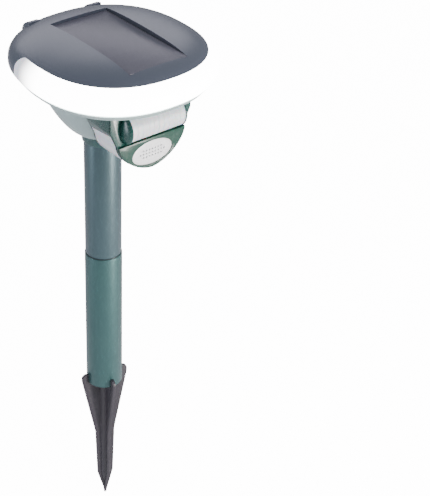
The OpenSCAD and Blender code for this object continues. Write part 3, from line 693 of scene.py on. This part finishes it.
def headShell(name, inset, drop, lower=0.0):
    return runTree(name, domedShell, {
        "Half Width": halfWidth, "Half Length": halfLength, "Plan Power": headSpec["planPower"],
        "Across Power": headSpec["acrossPower"], "Up Power": headSpec["upPower"],
        "Dome Height": domeHeight - drop, "Rim Height": headSpec["rimHeight"] + lower,
        "Rim Share": headSpec["rimShare"], "Rim Level": rimLevel - lower, "Inset": inset,
        "Shift": headShift, "Rim Part": headSpec["rimPart"],
        "Segments": headSpec["segments"], "Rings": headSpec["rings"],
    })


def bandPrism(name, grow):
    radius = headSpec["bandCorner"]
    back = headSpec["bandBack"] + grow
    low = bandBox[0].z - grow
    top = bandBox[1].z + grow
    front = -cutterReach["front"]
    side = cutterReach["side"]
    outline = [(front, low)]
    outline += arcPoints(back - radius, low + radius, radius, -90, 0, 12)
    outline += arcPoints(back - radius, top - radius, radius, 0, 90, 12)
    outline += [(front, top)]
    return prism(name, outline, -side, side, axis="X")


def makeCover():
    gap = headSpec["pocketGap"]
    wall = headSpec["wall"]
    cover = headShell("cover_shell", 0, 0)
    hollow = headShell("hollow", wall, wall, lower=headSpec["underCut"])
    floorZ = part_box("solar_backing")[0].z
    topZ = coverBox[1].z + cutterReach["above"]
    low = Vector((glassBox[0].x - gap, glassBox[0].y - gap, floorZ))
    high = Vector((glassBox[1].x + gap, glassBox[1].y + gap, topZ))
    thickness = Vector((wall, wall, wall * headSpec["pocketFloor"]))
    block = boxPiece("block", low - thickness, high + Vector((wall, wall, 0)))
    pocket = boxPiece("pocket", low, high)
    window = bandPrism("window", headSpec["bandGap"])
    cutWith(hollow, block)
    cutWith(cover, hollow)
    cutWith(cover, pocket)
    cutWith(cover, window)
    dropObjects(hollow, block, pocket, window)
    smoothPiece(cover, headSpec["smoothAngle"])
    place(cover, "head", "cover_plastic", materials["cover"], "top_cover")


def makeBand():
    band = headShell("band_diffuser", 0, 0)
    core = headShell("core", headSpec["bandWall"], 0, lower=headSpec["underCut"])
    window = bandPrism("window", 0)
    cutWith(band, core)
    cutWith(band, window, "INTERSECT")
    dropObjects(core, window)
    smoothPiece(band, headSpec["smoothAngle"])
    place(band, "head", "diffuser_plastic", materials["diffuser"], "band_lens")


def planRing(share, z, inset=0.0):
    points = []
    power = 2 / headSpec["planPower"]
    for i in range(headSpec["planSteps"]):
        turn = 2 * math.pi * i / headSpec["planSteps"]
        x = (halfWidth * share - inset) * signPower(math.cos(turn), power)
        y = (halfLength * share - inset) * signPower(math.sin(turn), power)
        points.append((x, y - headShift, z))
    return points


def ringStack(name, rings):
    # closed skin through rings of the same number of points, joined end to start
    count = len(rings[0])
    points = [p for ring in rings for p in ring]
    faces = []
    for k in range(len(rings)):
        after = (k + 1) % len(rings)
        for i in range(count):
            j = (i + 1) % count
            faces.append((k * count + i, k * count + j, after * count + j, after * count + i))
    piece = meshObject(name, points, faces)
    fixNormals(piece)
    return piece


def makeTray():
    share, rim, wall = headSpec["floorShare"], headSpec["rimShare"], headSpec["wall"]
    low, top = trayBox[0].z, trayBox[1].z
    edge = headSpec["trayEdge"]
    hole = headSpec["trayHole"]
    # one point of the lower edge's rounding lies this far in and up from its corner
    roundIn, roundUp = edge * 0.2, edge * 0.4
    rings = [
        planRing(hole, low), planRing(share, low, edge), planRing(share, low + roundUp, roundIn),
        planRing(share, low + edge), planRing(rim, top - edge), planRing(rim, top, edge),
        planRing(rim, top, wall), planRing(share, low + wall, wall), planRing(hole, low + wall),
    ]
    tray = ringStack("tray_rim", rings)
    smoothPiece(tray, angle=40)
    place(tray, "head", "housing_plastic", materials["bowl"], "base_tray")


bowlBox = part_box("lower_bowl")
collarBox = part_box("neck_collar")
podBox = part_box("control_pod")
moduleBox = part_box("sensor_housing")

bowlSpec = {
    "curve": 1.7,
    "wall": 2.2 * mm,
    "neckRadius": collarBox[1].x,
    "steps": 48,
    "turnSteps": 160,
    "boreGap": 2.5 * mm,
    "boreEdge": 1 * mm,
    "podCorner": 5 * mm,
    "cornerSteps": 8,
    "slotGap": 0.1 * mm,
    "slotRise": 1 * mm,
}

moduleSpec = {
    "platePower": 1.7,
    "shoulderDrop": 20.5 * mm,
    "plateHalf": 37.5 * mm,
    "plateDrop": 31 * mm,
    "arcSteps": 72,
}


def moduleOutline(inset, top):
    half = moduleBox[1].x - inset
    ledge = moduleBox[0].z + moduleSpec["plateDrop"]
    shoulder = trayBox[0].z - moduleSpec["shoulderDrop"]
    width = moduleSpec["plateHalf"] - inset
    height = moduleSpec["plateDrop"] - inset
    outline = [(half, top), (-half, top), (-half, shoulder)]
    power = 2 / moduleSpec["platePower"]
    for i in range(moduleSpec["arcSteps"] + 1):
        turn = math.pi + math.pi * i / moduleSpec["arcSteps"]
        x = width * signPower(math.cos(turn), power)
        outline.append((x, ledge + height * signPower(math.sin(turn), power)))
    return outline + [(half, shoulder)]


def roundedRectangle(halfWide, low, high, radius, steps):
    # (x, z) points from the lower right corner round to the lower left one
    outline = arcPoints(halfWide - radius, low + radius, radius, -90, 0, steps)
    outline += arcPoints(halfWide - radius, high - radius, radius, 0, 90, steps)
    outline += arcPoints(-halfWide + radius, high - radius, radius, 90, 180, steps)
    outline += arcPoints(-halfWide + radius, low + radius, radius, 180, 270, steps)
    return outline


def bowlProfile():
    radius, top, low = bowlBox[1].x, bowlBox[1].z, bowlBox[0].z
    wall = bowlSpec["wall"]
    outside, inside = [], []
    for i in range(bowlSpec["steps"] + 1):
        u = i / bowlSpec["steps"]
        r = bowlSpec["neckRadius"] + (radius - bowlSpec["neckRadius"]) * u
        z = low + (top - low) * u ** bowlSpec["curve"]
        outside.append((r, z))
        if z > low + 2 * wall:
            inside.append((r - wall, z))
    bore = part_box("upper_tube")[1].x + bowlSpec["boreGap"]
    neck = [(bore + bowlSpec["boreEdge"], low + wall), (bore, low + wall), (bore, low)]
    return outside + inside[::-1] + neck


def makeBowl():
    gap = bowlSpec["slotGap"]
    reach = cutterReach["front"]
    bowl = lathe("bowl_shell", bowlProfile(), bowlSpec["turnSteps"])
    slotOutline = moduleOutline(-gap, bowlBox[1].z + bowlSpec["slotRise"])
    slot = prism("slot", slotOutline, -reach, moduleBox[1].y + gap)
    podLow, podHigh = podBox[0].z - gap, podBox[1].z + gap
    podOutline = roundedRectangle(
        podBox[1].x + gap, podLow, podHigh, bowlSpec["podCorner"], bowlSpec["cornerSteps"])
    podSlot = prism("podSlot", podOutline, podBox[0].y, reach)
    cutWith(bowl, slot)
    cutWith(bowl, podSlot)
    dropObjects(slot, podSlot)
    smoothPiece(bowl, headSpec["smoothAngle"])
    place(bowl, "head", "housing_plastic", materials["bowl"], "lower_bowl")


makeCover()
print("cover made")
makeBand()
print("band made")
makeTray()
makeBowl()
print("tray and bowl made")

# ---------- pole ----------

tubeSpec = {
    "wall": 1.6 * mm,
    "edge": 0.7 * mm,
    "edgeTurn": 80,     # degrees of the rounding at each end
    "edgeSteps": 5,
    "steps": 160,
    "smoothAngle": 30,
}


def makeTube(nodeName, name, material):
    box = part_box(nodeName)
    r, low, top = box[1].x, box[0].z, box[1].z
    wall, edge = tubeSpec["wall"], tubeSpec["edge"]
    turn, steps = tubeSpec["edgeTurn"], tubeSpec["edgeSteps"]
    profile = [(r - wall, low), (r - edge, low)]
    profile += [(r - edge + x, low + edge + z) for x, z in arcPoints(0, 0, edge, -turn, 0, steps)]
    profile += [(r - edge + x, top - edge + z) for x, z in arcPoints(0, 0, edge, 0, turn, steps)]
    profile += [(r - edge, top), (r - wall, top)]
    tube = lathe(name, profile, tubeSpec["steps"])
    smoothPiece(tube, tubeSpec["smoothAngle"])
    place(tube, "pole", "pole_enamel", material, nodeName)


makeTube("lower_tube", "lower_pole_tube", materials["lowerPole"])
makeTube("upper_tube", "upper_pole_tube", materials["pole"])

joiner = softCopy("tube_joiner", 0.25 * mm)
place(joiner, "pole", "joiner_plastic", materials["joiner"], "tube_joiner")
stake = softCopy("ground_stake", 0.7 * mm, segments=3, angle=40)
place(stake, "pole", "stake_plastic", materials["stake"], "ground_stake")
print("pole made")

# ---------- rounded copies of the head's moulded pieces ----------

softSpec = {
    # node: (edge width in mm, slot, material)
    "neck_collar": (0.5, "housing_plastic", "collar"),
    "sensor_housing": (0.7, "housing_plastic", "housing"),
    "sensor_fascia": (0.3, "housing_plastic", "housing"),
    "front_plate": (0.7, "plate_plastic", "plate"),
    "window_left": (0.3, "window_plastic", "lens"),
    "window_right": (0.3, "window_plastic", "lens"),
    "cap_left": (0.3, "housing_plastic", "housing"),
    "cap_right": (0.3, "housing_plastic", "housing"),
    "control_pod": (0.5, "housing_plastic", "bowl"),
    "solar_glass": (0.25, "panel_glass", "glass"),
    "lug_left": (0.8, "cover_plastic", "cover"),
    "lug_right": (0.8, "cover_plastic", "cover"),
}
for nodeName, (edge, slotName, materialName) in softSpec.items():
    piece = softCopy(nodeName, edge * mm)
    place(piece, "head", slotName, materials[materialName], nodeName)

movingSpec = {
    "battery_door": (0.3, "housing_plastic", "bowl"),
    "mode_knob": (0.2, "dark_plastic", "dark"),
    "range_knob": (0.2, "dark_plastic", "dark"),
}
for nodeName, (edge, slotName, materialName) in movingSpec.items():
    piece = softCopy(nodeName, edge * mm)
    place(piece, nodeName, slotName, materials[materialName], nodeName)
print("moulded pieces rounded")

# ---------- motion lens ----------

lensSpec = {
    "radius": 14.2 * mm,
    "wall": 1.2 * mm,
    "ribRise": 0.2 * mm,
    "ribWidth": 0.5 * mm,
    "ribSink": 0.05 * mm,   # how deep a rib's foot lies in the barrel
    "columns": 11,
    "arcSteps": 40,
    "smoothAngle": 30,
}


def lensSlice(name, x0, x1, outer, inner):
    # part of a barrel along X, in front of the fascia
    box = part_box("motion_lens")
    flat = box[1].y
    centreY = box[0].y + lensSpec["radius"]
    centreZ = (box[0].z + box[1].z) / 2
    reach = math.degrees(math.acos((centreY - flat) / outer))
    arc = arcPoints(centreY, centreZ, outer, 180 - reach, 180 + reach, lensSpec["arcSteps"])
    innerReach = math.degrees(math.acos((centreY - flat) / inner))
    arc += arcPoints(centreY, centreZ, inner, 180 + innerReach, 180 - innerReach, lensSpec["arcSteps"])
    return prism(name, arc, x0, x1, axis="X")


def makeLens():
    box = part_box("motion_lens")
    outer = lensSpec["radius"] - lensSpec["ribRise"]
    lens = lensSlice("motion_lens_barrel", box[0].x, box[1].x, outer, outer - lensSpec["wall"])
    smoothPiece(lens, lensSpec["smoothAngle"])
    place(lens, "head", "window_plastic", materials["lens"], "motion_lens")
    half = lensSpec["ribWidth"] / 2
    rib = lensSlice("rib", -half, half, lensSpec["radius"], outer - lensSpec["ribSink"])
    step = (box[1].x - box[0].x - lensSpec["ribWidth"] * 2) / (lensSpec["columns"] - 1)
    ribs = runTree("motion_lens_ribs", repeatInRow, {
        "Piece": rib, "Count": lensSpec["columns"],
        "Start": (box[0].x + lensSpec["ribWidth"], 0.0, 0.0),
        "Step": (step, 0.0, 0.0), "Material": materials["lens"],
    })
    dropObjects(rib)
    smoothPiece(ribs, lensSpec["smoothAngle"])
    place(ribs, "head", "window_plastic", None)


makeLens()
print("motion lens made")

# ---------- sounder grille ----------

grilleSpec = {
    "columns": 9,
    "rows": 3,
    "pitch": 3.3 * mm,
    "hole": 0.95 * mm,
    "crown": 0.7 * mm,
    "crownPower": 4,
    "smallest": 0.001,      # size of the innermost ring, as a share of the outline
    "punchDepth": 20 * mm,
    "steps": 96,
    "rings": 10,
    "smoothAngle": 30,
}


def grillePlate(box, centre):
    # oval plate with a front that crowns towards its middle
    halfW, halfH = (box[1].x - box[0].x) / 2, (box[1].z - box[0].z) / 2
    stack = [(1.0, box[1].y)]
    for k in range(grilleSpec["rings"] + 1):
        share = 1 - (1 - grilleSpec["smallest"]) * (k / grilleSpec["rings"])
        bulge = math.sqrt(max(0.0, 1 - share ** grilleSpec["crownPower"]))
        stack.append((share, box[0].y + grilleSpec["crown"] * (1 - bulge)))
    count = grilleSpec["steps"]
    points = []
    for share, y in stack:
        for i in range(count):
            turn = 2 * math.pi * i / count
            x = centre.x + halfW * share * math.cos(turn)
            points.append((x, y, centre.z + halfH * share * math.sin(turn)))
    faces = [tuple(range(count))]
    for k in range(len(stack) - 1):
        for i in range(count):
            j = (i + 1) % count
            faces.append((k * count + i, k * count + j, (k + 1) * count + j, (k + 1) * count + i))
    faces.append(tuple((len(stack) - 1) * count + i for i in reversed(range(count))))
    plate = meshObject("plate", points, faces)
    fixNormals(plate)
    return plate


def makeGrille():
    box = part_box("speaker_grille")
    centre = (box[0] + box[1]) / 2
    plate = grillePlate(box, centre)
    grille = runTree("sounder_grille", perforatedPlate, {
        "Plate": plate, "Columns": grilleSpec["columns"], "Rows": grilleSpec["rows"],
        "Pitch": grilleSpec["pitch"], "Hole Radius": grilleSpec["hole"],
        "Depth": grilleSpec["punchDepth"], "Centre": centre, "Material": materials["grille"],
    })
    dropObjects(plate)
    smoothPiece(grille, grilleSpec["smoothAngle"])
    place(grille, "head", "grille_plastic", materials["grille"], "speaker_grille")


makeGrille()
print("grille made")

# ---------- materials on the CAD nodes that stay ----------

keptMaterials = {
    "light_strip": "board",
    "strip_leds": "led",
    "solar_backing": "board",
    "solar_cells": "silicon",
    "case_screws": "zinc",
    "main_board": "board",
    "plate_screws_set": "zinc",
    "sounder": "dark",
    "motion_sensor": "zinc",
    "sensor_board": "board",
    "mode_control": "zinc",
    "range_control": "zinc",
    "battery_box": "dark",
    "battery_a": "wrap",
    "battery_b": "wrap",
    "battery_c": "wrap",
    "battery_contacts": "zinc",
}
for nodeName, materialName in keptMaterials.items():
    data = nodes[nodeName].data
    data.materials.clear()
    data.materials.append(materials[materialName])

# ---------- floor, backdrop and light ----------

stageSpec = {
    "floorDrop": 1 * mm,
    "floorSize": 12.0,
    "floorGlow": 14.0,
    "worldColour": "#eef0f6",
    "worldStrength": 0.42,
}

lightSpec = [
    # name, place, aim and size in metres, power in watts, colour
    ("front", (0.45, -1.2, 0.06), (0, 0, 0.14), (0.14, 0.6), 26, "#fff9f4"),
    ("face", (-0.1, -1.2, 1.7), (0, -0.05, 0.38), (0.7, 0.5), 16, "#f7f4ff"),
    ("left", (-1.25, 0.3, 0.1), (0, 0, 0.16), (0.25, 0.8), 7, "#eef4ff"),
    ("top", (0.7, 1.5, 1.2), (0, 0, 0.37), (1.8, 0.8), 11, "#f4f1ff"),
]


def makeStage():
    # painted board, washed out by a light that only the camera sees
    floorMaterial, tree, shader = startMaterial("pale_floor", "#fbfbfc", 0.9)[:3]
    shader.inputs["Specular IOR Level"].default_value = 0.1
    sight = addNode(tree, "ShaderNodeLightPath")
    glow = addNode(tree, "ShaderNodeMath", {"operation": "MULTIPLY"}, {
        0: sight.outputs["Is Camera Ray"], 1: stageSpec["floorGlow"],
    })
    shader.inputs["Emission Color"].default_value = toLinear("#ffffff")
    tree.links.new(glow.outputs[0], shader.inputs["Emission Strength"])
    half = stageSpec["floorSize"] / 2
    z = cadBounds[0].z - stageSpec["floorDrop"]
    corners = [(-half, -half, z), (half, -half, z), (half, half, z), (-half, half, z)]
    floor = meshObject("floor", corners, [(0, 1, 2, 3)])
    floor.data.materials.append(floorMaterial)
    world = bpy.data.worlds.new("studio")
    bpy.context.scene.world = world
    world.use_nodes = True
    background = world.node_tree.nodes["Background"]
    background.inputs["Color"].default_value = toLinear(stageSpec["worldColour"])
    background.inputs["Strength"].default_value = stageSpec["worldStrength"]


def makeLights():
    for name, location, aim, size, power, colour in lightSpec:
        data = bpy.data.lights.new(name, "AREA")
        data.shape = "RECTANGLE"
        data.size, data.size_y = size
        data.energy = power
        data.color = toLinear(colour)[:3]
        light = bpy.data.objects.new(name, data)
        light.location = location
        sight = Vector(aim) - Vector(location)
        light.rotation_euler = sight.to_track_quat("-Z", "Y").to_euler()
        bpy.context.scene.collection.objects.link(light)


makeStage()
makeLights()
print("stage lit")
